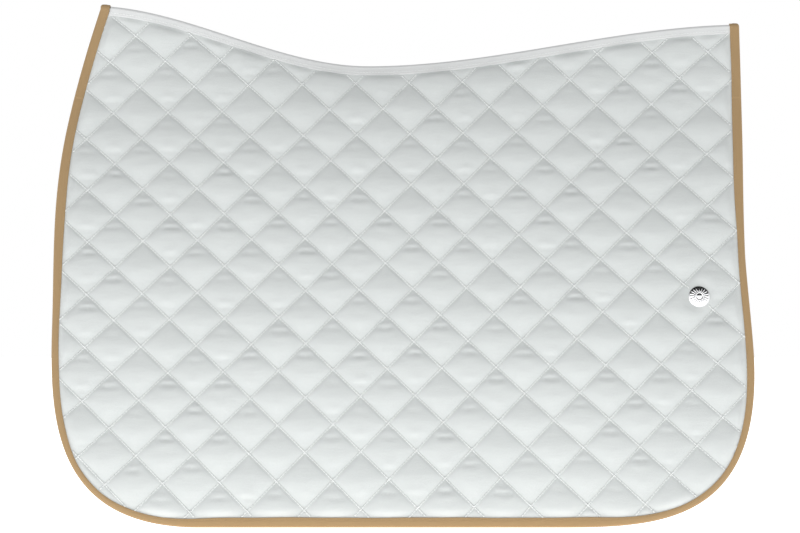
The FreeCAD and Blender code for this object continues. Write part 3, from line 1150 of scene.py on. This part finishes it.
def beads(starts: Array, ends: Array, up: Array, width: float, height: float) -> Surface:
    """Pointed beads between pairs of points: two tips and two rings of four.

    Args:
        starts: rows of first tips.
        ends: rows of last tips.
        up: unit vectors away from the cloth.
        width: width of a bead across the cloth.
        height: height of a bead.

    Returns:
        All the beads as one surface, each closed.
    """
    along = ends - starts
    side = np.cross(along, up)
    side /= np.linalg.norm(side, axis=1)[:, None]
    ring = [side * width / 2, up * height / 2, -side * width / 2, -up * height / 2]
    points = [starts]
    for share in (0.1, 0.9):
        points += [starts + along * share + offset for offset in ring]
    points.append(ends)
    cloud = np.stack(points, axis=1).reshape(-1, 3)
    quads = []
    for k in range(4):
        after = (k + 1) % 4
        quads.append([1 + k, 5 + k, 5 + after, 1 + after])
        quads.append([0, 1 + k, 1 + after, 1 + after])
        quads.append([9, 5 + after, 5 + k, 5 + k])
    base = np.array(quads)
    offsets = np.arange(len(starts))[:, None, None] * 10
    return Surface(cloud, (base[None] + offsets).reshape(-1, 4))


@dataclass
class Binding:
    """The tan tape folded over the rim: two long runs round the flaps and two arches above."""

    pad: Pad
    outer_lift: float = 2.75
    thickness: float = 0.7
    leg_points: int = 9
    fold_points: int = 12
    stitch_share: float = 0.72
    stitch_size: tuple[float, float, float] = (1.25, 0.55, 0.35)
    cap_points: int = 14
    cap_drop: float = 1.8
    step: float = 1.8
    overlap: float = 5.0
    tuck: float = 0.03
    plane_gap: float = 0.08
    plane_gain: float = 0.26
    plane_most: float = 0.3

    @property
    def split(self) -> float:
        """Height at which an arch laps over a run."""
        return self.pad.outline.fold_height + self.pad.fold_blend

    def _leg(self, lift: float) -> tuple[Array, Array]:
        """Half of the section: shares of the leg's width, and unit lifts round the fold.

        The fold is a half circle about a point one outer lift inside the rim.
        """
        turn = np.linspace(math.pi / 2, -math.pi / 2, self.fold_points)
        fold_inset = self.outer_lift - lift * np.cos(turn)
        fold_lift = lift * np.sin(turn)
        return fold_inset, fold_lift

    def section(self, width: Array) -> tuple[Array, Array]:
        """Ring of insets and lifts at each station: outer skin, then the inner skin back.

        Args:
            width: width of the tape's leg at each station.

        Returns:
            Two arrays of stations by ring points.
        """
        share = np.linspace(1.0, 0.0, self.leg_points, endpoint=False)
        leg = self.outer_lift + share[None, :] * (width[:, None] - self.outer_lift)
        sewn = 0.2 * np.exp(-(((share - self.stitch_share) / 0.12) ** 2))
        pillow = 0.22 * np.sin(math.pi * share) - sewn
        skins = []
        for skin in (self.outer_lift, self.outer_lift - self.thickness):
            fold_inset, fold_lift = self._leg(skin)
            fold = np.repeat(fold_inset[None], len(width), axis=0)
            insets = np.hstack([leg, fold, leg[:, ::-1]])
            lifts = np.concatenate([skin + pillow, fold_lift, -(skin + pillow)[::-1]])
            skins.append((insets, np.repeat(lifts[None], len(width), axis=0)))
        (outer_q, outer_d), (inner_q, inner_d) = skins
        return np.hstack([outer_q, inner_q[:, ::-1]]), np.hstack([outer_d, inner_d[:, ::-1]])

    def _rings(self, stations: Array, inward: Array, side: Side, tuck: float) -> tuple[Array, Array]:
        """Points of the section round every station on one side, and their cloth map.

        Above the split the section is smaller by the share tuck, so that a run ends under an arch.
        """
        insets, lifts = self.section(self.pad.tape_reach(stations))
        above = smoothstep(stations[:, 1], self.split + 0.2, self.split + 1.5)
        lifts = lifts * (1 - tuck * above[:, None])
        flat = stations[:, None, :] + inward[:, None, :] * insets[:, :, None]
        points = self.pad.hang.place(flat.reshape(-1, 2), lifts.ravel(), side)
        keep_out = self.plane_gap + self.plane_gain * (lifts.ravel() + self.outer_lift)
        keep_out = np.clip(keep_out, 0.0, self.plane_most)
        points[:, 1] = side.sign * np.maximum(side.sign * points[:, 1], keep_out)
        lengths = np.concatenate([[0.0], np.cumsum(np.linalg.norm(np.diff(stations, axis=0), axis=1))])
        along = np.repeat(lengths[:, None], insets.shape[1], axis=1)
        return points.reshape(*insets.shape, 3), np.stack([along, insets * np.sign(lifts)], axis=-1)

    def run(self, side: Side) -> Surface:
        """The tape from the front of the fold line, round the hem, to the rear of the fold line."""
        stations, inward = self._stations(below=True)
        return swept(*self._rings(stations, inward, side, self.tuck))

    def _stations(self, below: bool, front: bool = True) -> tuple[Array, Array]:
        """Rim stations below the split, or above it up to the cap at one end."""
        outline = self.pad.outline
        rim = outline.rim(self.step)
        inward = inward_normals(rim)
        split = self.split
        if below:
            kept = rim[:, 1] <= split + self.overlap
        else:
            kept = (rim[:, 1] > split) & ((rim[:, 0] < 0) == front)
            kept &= rim[:, 1] < outline.crest(rim[:, 0]) - self.cap_drop
            last = np.flatnonzero(kept)
            kept[last[-1] + 1 if front else last[0] - 1] = True
        rim, inward = rim[kept], inward[kept]
        if not below and front:
            rim, inward = rim[::-1], inward[::-1]
        return rim, inward

    def arch(self, front: bool) -> Surface:
        """The tape from the left flap's fold line, over the crest, to the right one's."""
        outline = self.pad.outline
        stations, inward = self._stations(below=False, front=front)
        left, left_map = self._rings(stations, inward, Side.LEFT, 0.0)
        right, right_map = self._rings(stations, inward, Side.RIGHT, 0.0)
        insets, lifts = self.section(self.pad.tape_reach(stations[-1:]))
        insets, lifts = insets[0], lifts[0]
        turn = np.linspace(0.0, math.pi, self.cap_points + 2)[1:-1, None]
        top_x = stations[-1, 0]
        way = 1.0 if front else -1.0
        side_angle = math.atan2(inward[-1, 1], inward[-1, 0] * way)
        slope = outline.withers_slope if front else outline.croup_slope
        angle = side_angle + (math.atan(slope * way) - side_angle) * np.sin(turn)
        reach = np.maximum(np.abs(left[-1, :, 1]), 0.02)[None, :]
        x = top_x + way * insets[None, :] * np.cos(angle)
        z = stations[-1, 1] + insets[None, :] * np.sin(angle) + reach * np.sin(turn)
        cap = np.stack([x, -reach * np.cos(turn), z], axis=-1)
        cap_map = np.repeat(left_map[-1:], self.cap_points, axis=0)
        cap_map[:, :, 0] += np.linspace(0.5, 12.0, self.cap_points)[:, None]
        right_map[:, :, 0] = left_map[-1, 0, 0] + 13.0 + right_map[::-1, :, 0]
        rings = np.concatenate([left, cap, right[::-1]])
        return swept(rings, np.concatenate([left_map, cap_map, right_map]))

    def stitches(self, side: Side, below: bool, front: bool = True) -> Surface:
        """Row of stitches near the tape's inner edge on the outer face."""
        stations, inward = self._stations(below, front)
        width = self.pad.tape_reach(stations)[:, None]
        line = stations + inward * (self.outer_lift + self.stitch_share * (width - self.outer_lift))
        return self.pad.sewn_row(line, side, self.outer_lift - 0.02, self.stitch_size)

    def build(self) -> None:
        """Makes the binding's pieces and places them in the frame."""
        for side in Side:
            self._sew(side.label, self.run(side), self.stitches(side, below=True), side)
        for end in ("front", "rear"):
            front = end == "front"
            rows = [self.stitches(side, below=False, front=front) for side in Side]
            self._sew(end, self.arch(front), rows[0].joined(rows[1]), None)

    def _sew(self, name: str, tape: Surface, row: Surface, side: Side | None) -> None:
        """Makes a stretch of tape and its stitches, which lie on a side or ride the ridge."""
        finishes = self.pad.finishes
        strip = tape.piece(f"{name}_tape", finishes.binding)
        thread = row.piece(f"{name}_tape_stitches", finishes.tan_thread)
        self.pad.take(strip, "binding_tape", (f"{name}_binding",), side)
        self.pad.take(thread, "binding_thread", (f"{name}_binding_thread",), side)


@dataclass
class SpineTape:
    """The pale tape folded over the two panels' top edges, between the bindings."""

    pad: Pad
    depth: float = 8.6
    outer_lift: float = 2.35
    thickness: float = 0.5
    cap_drop: float = 1.8
    outer_rise: float = 2.9
    inner_rise: float = 2.4
    cap_points: int = 13
    stations: int = 420
    stitch_depth: float = 5.6
    stitch_size: tuple[float, float, float] = (1.3, 0.6, 0.4)

    def _skin(self, x: Array, lift: float, rise: float) -> tuple[Array, Array, Array]:
        """One skin of the section at each station: down-turned U of (x, y, z) and its depths.

        Args:
            x: stations of every depth, as stations by depths, deepest first.
            lift: distance of the legs from the middle face.
            rise: height of the half ellipse over the crest.
        """
        depths = np.linspace(self.depth, self.cap_drop, x.shape[1])
        crest = self.pad.outline.crest(x)
        flat = np.stack([x, crest - depths[None, :]], axis=-1)
        leg = self.pad.hang.place(flat.reshape(-1, 2), np.full(x.size, lift), Side.LEFT)
        leg = leg.reshape(*x.shape, 3)
        turn = np.linspace(0.0, math.pi, self.cap_points + 2)[1:-1]
        top = leg[:, -1]
        cap = np.stack(
            [
                np.repeat(top[:, :1], self.cap_points, axis=1),
                top[:, 1:2] * np.cos(turn)[None, :],
                top[:, 2:] + rise * np.sin(turn)[None, :],
            ],
            axis=-1,
        )
        mirrored = leg[:, ::-1] * np.array([1.0, -1.0, 1.0])
        across = np.concatenate([-depths, np.linspace(-1.5, 1.5, self.cap_points), depths[::-1]])
        return np.concatenate([leg, cap, mirrored], axis=1), across

    def _reach(self, depths: Array) -> Array:
        """X of every station at every depth below the crest, from binding to binding."""
        outline, width = self.pad.outline, self.pad.binding_width + 0.35
        lean = math.radians(outline.front_lean)
        front_x = outline.front_top_setback - outline.half_length
        front = front_x + (width + 0.35) / math.cos(lean) - math.tan(lean) * (depths + outline.top_rise)
        rear = np.full_like(depths, outline.half_length - outline.rear_top_setback - width + 0.3)
        share = np.linspace(0.0, 1.0, self.stations)[:, None]
        return front[None, :] + share * (rear - front)[None, :]

    def surface(self) -> Surface:
        """The tape as a closed sweep."""
        x = self._reach(np.linspace(self.depth, self.cap_drop, 8))
        outer, across = self._skin(x, self.outer_lift, self.outer_rise)
        inner, _ = self._skin(x, self.outer_lift - self.thickness, self.inner_rise)
        rings = np.concatenate([outer, inner[:, ::-1]], axis=1)
        along = np.repeat(rings[:, :1, 0], rings.shape[1], axis=1)
        across = np.concatenate([across, across[::-1]])
        return swept(rings, np.stack([along, np.repeat(across[None], len(x), axis=0)], axis=-1))

    def stitches(self, side: Side) -> Surface:
        """Row of stitches along one leg."""
        x = self._reach(np.array([self.stitch_depth]))[:, 0]
        line = np.stack([x, self.pad.outline.crest(x) - self.stitch_depth], axis=1)
        return self.pad.sewn_row(line, side, self.outer_lift + 0.05, self.stitch_size)

    def build(self) -> None:
        """Makes the tape and its thread and places them in the frame."""
        tape = self.surface().piece("spine_cloth_tape", self.pad.finishes.spine)
        rows = self.stitches(Side.LEFT).joined(self.stitches(Side.RIGHT))
        thread = rows.piece("spine_cloth_tape_stitches", self.pad.finishes.white_thread)
        self.pad.take(tape, "spine_tape", ("spine_tape",), None)
        self.pad.take(thread, "white_thread", ("spine_tape_thread",), None)


@dataclass
class Badge:
    """Round plated badge: a cone-shaped ring with raised marks round a boss with a small dome."""

    pad: Pad
    marks: int = 20
    around: int = 160
    rim_height: float = 0.9
    rim_bead: float = 0.45
    cone_slope: float = 0.30
    boss_radius: float = 4.5
    boss_height: float = 3.1
    dome_radius: float = 2.9
    dome_height: float = 0.75
    mark_height: float = 0.45
    socket_radius: float = 1.6
    socket_height: float = 1.3

    def _profile(self) -> Array:
        """Rows of (radius, height) from the middle of the socket, under, round and over the top."""
        radius, boss = self.pad.badge_radius, self.boss_radius
        under = [
            (0.3, self.socket_height),
            (self.socket_radius, self.socket_height),
            (self.socket_radius, 0.02),
            (radius - 0.5, 0.02),
        ]
        turn = np.linspace(-0.3 * math.pi, 0.5 * math.pi, 9)
        bead = self.rim_bead
        rim_centre = (radius - bead, self.rim_height - bead)
        rim = rim_centre + bead * np.stack([np.cos(turn), np.sin(turn)], 1)
        run = np.linspace(radius - 0.6, boss + 0.5, 24)
        cone = np.stack([run, self.rim_height + self.cone_slope * (radius - 0.6 - run)], axis=1)
        groove = [(boss + 0.25, cone[-1, 1] - 0.3), (boss + 0.05, cone[-1, 1] - 0.3)]
        plateau = [
            (boss, self.boss_height - 0.35),
            (boss - 0.1, self.boss_height - 0.1),
            (boss - 0.35, self.boss_height),
            (self.dome_radius + 0.25, self.boss_height),
            (self.dome_radius + 0.05, self.boss_height - 0.25),
        ]
        dome = np.linspace(self.dome_radius, 0.15, 12)
        height = self.boss_height - 0.25 + self.dome_height * np.sqrt(1 - (dome / (dome[0] + 0.02)) ** 2)
        return np.vstack([under, rim, cone, groove, plateau, np.stack([dome, height], axis=1)])

    def surface(self) -> Surface:
        """The badge as a lathed solid with its marks, in place on the left flap."""
        profile = self._profile()
        turn = np.linspace(0.0, 2 * math.pi, self.around, endpoint=False)
        radius, height = (np.repeat(profile[:, k : k + 1], self.around, 1) for k in (0, 1))
        low, high = self.boss_radius + 0.9, self.pad.badge_radius - 1.3
        ring = np.clip(1 - ((radius - (low + high) / 2) / ((high - low) / 2)) ** 2, 0.0, 1.0) ** 0.5
        mark = np.clip(np.cos(self.marks * turn) + 0.2 * np.cos(3 * turn), 0.0, 1.0) ** 0.7
        on_top = height > self.rim_height
        height = height + self.mark_height * ring * mark[None, :] * on_top
        hang = self.pad.hang
        x, z = self.pad.badge_place
        lean = float(hang.lean(z))
        out = np.array([0.0, -math.cos(lean), math.sin(lean)])
        up = np.array([0.0, math.sin(lean), math.cos(lean)])
        face = float(hang.inner_y(np.array([x]), np.array([z]))[0]) + hang.panel
        centre = np.array([x, -face, z])
        offset = radius[:, :, None] * (
            np.cos(turn)[None, :, None] * np.array([1.0, 0.0, 0.0]) + np.sin(turn)[None, :, None] * up
        )
        points = centre + offset + height[:, :, None] * out
        return swept(points, np.stack([radius, height], axis=-1))

    def build(self, frame: dict[str, object]) -> None:
        """Makes the badge, and gives the rivet and the washer their metal."""
        cap = self.surface().piece("badge_plate", self.pad.finishes.chrome)
        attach(cap, "left_flap")
        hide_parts("badge_cap")
        for name in ("badge_rivet", "badge_washer"):
            mesh = frame["nodes"][name].data
            mesh.materials.clear()
            mesh.materials.append(self.pad.finishes.steel)


@dataclass
class Studio:
    """Pale floor, pale world, soft light and the camera."""

    camera_place: tuple[float, float, float] = (-0.00259, -2.335, 0.25168)
    lens: float = 103.5
    floor_size: float = 8.0
    sky: float = 0.51
    softbox_place: tuple[float, float, float] = (-0.9, -2.2, 0.25)
    softbox_size: float = 1.2
    softbox_power: float = 6.0
    floor_glow: float = 1.05

    def _floor(self) -> bpy.types.Object:
        """A flat floor at the pad's hems."""
        half = self.floor_size / 2 / MM
        corners = np.array([(-half, -half, 0), (half, -half, 0), (half, half, 0), (-half, half, 0)])
        paint = PaintedStage("studio_floor", (0.9, 0.9, 0.9), self.floor_glow).build()
        floor = Surface(corners, np.array([[0, 1, 2, 3]])).piece("floor", paint)
        return floor

    def _world(self) -> None:
        """White behind the pad, a dimmer sky to light it, and a dark ceiling for the metal to mirror."""
        world = bpy.data.worlds.new("studio_world")
        bpy.context.scene.world = world
        world.use_nodes = True
        tree = world.node_tree
        tree.nodes.clear()
        shades = []
        for colour in ((1.0, 1.0, 1.0), (0.99, 0.995, 1.0)):
            shade = tree.nodes.new("ShaderNodeBackground")
            shade.inputs["Color"].default_value = (*colour, 1.0)
            shades.append(shade)
        seen, sky = shades
        path = tree.nodes.new("ShaderNodeLightPath")
        direction = tree.nodes.new("ShaderNodeTexCoord")
        split = tree.nodes.new("ShaderNodeSeparateXYZ")
        tree.links.new(direction.outputs["Generated"], split.inputs[0])
        rise = tree.nodes.new("ShaderNodeMapRange")
        for name, value in (("From Min", 0.42), ("From Max", 0.6), ("To Min", 1.2), ("To Max", 0.02)):
            rise.inputs[name].default_value = value
        tree.links.new(split.outputs["Z"], rise.inputs["Value"])
        strength = tree.nodes.new("ShaderNodeMix")
        strength.inputs[2].default_value = self.sky
        tree.links.new(path.outputs["Is Glossy Ray"], strength.inputs[0])
        tree.links.new(rise.outputs[0], strength.inputs[3])
        tree.links.new(strength.outputs[0], sky.inputs["Strength"])
        mix = tree.nodes.new("ShaderNodeMixShader")
        output = tree.nodes.new("ShaderNodeOutputWorld")
        tree.links.new(path.outputs["Is Camera Ray"], mix.inputs[0])
        tree.links.new(sky.outputs[0], mix.inputs[1])
        tree.links.new(seen.outputs[0], mix.inputs[2])
        tree.links.new(mix.outputs[0], output.inputs["Surface"])

    def _softbox(self) -> None:
        """A square area light in front that faces the middle of the pad."""
        data = bpy.data.lights.new("front_softbox", "AREA")
        data.shape = "SQUARE"
        data.size = self.softbox_size
        data.energy = self.softbox_power
        lamp = bpy.data.objects.new("front_softbox", data)
        lamp.location = self.softbox_place
        aim = Vector((0.0, 0.0, 0.26)) - Vector(self.softbox_place)
        lamp.rotation_euler = aim.to_track_quat("-Z", "Y").to_euler()
        bpy.context.scene.collection.objects.link(lamp)

    def build(self) -> None:
        """Makes the studio."""
        self._floor()
        self._world()
        self._softbox()
        data = bpy.data.cameras.new("camera")
        data.lens = self.lens
        data.sensor_width = 36.0
        camera = bpy.data.objects.new("camera", data)
        camera.location = self.camera_place
        camera.rotation_euler = (math.pi / 2, 0.0, 0.0)
        bpy.context.scene.collection.objects.link(camera)
        bpy.context.scene.camera = camera
        bpy.context.scene.view_settings.view_transform = "Standard"


def main() -> None:
    """Builds the looks of the saddle pad."""
    logging.basicConfig(level=logging.INFO, format="%(name)s: %(message)s")
    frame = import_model()
    outline = Outline(half_length=342.2, fold_height=395.0)
    hang = Hang(outline)
    pad = Pad(
        outline=outline,
        hang=hang,
        lattice=Lattice(hang),
        finishes=Finishes(),
        badge_place=(289.7, 222.1),
        badge_radius=10.5,
    )
    for seed, side in enumerate(Side, start=7):
        QuiltedPanel(pad, side, seed).build()
    Binding(pad).build()
    SpineTape(pad).build()
    Badge(pad).build(frame)
    Studio().build()


if __name__ == "__main__":
    main()
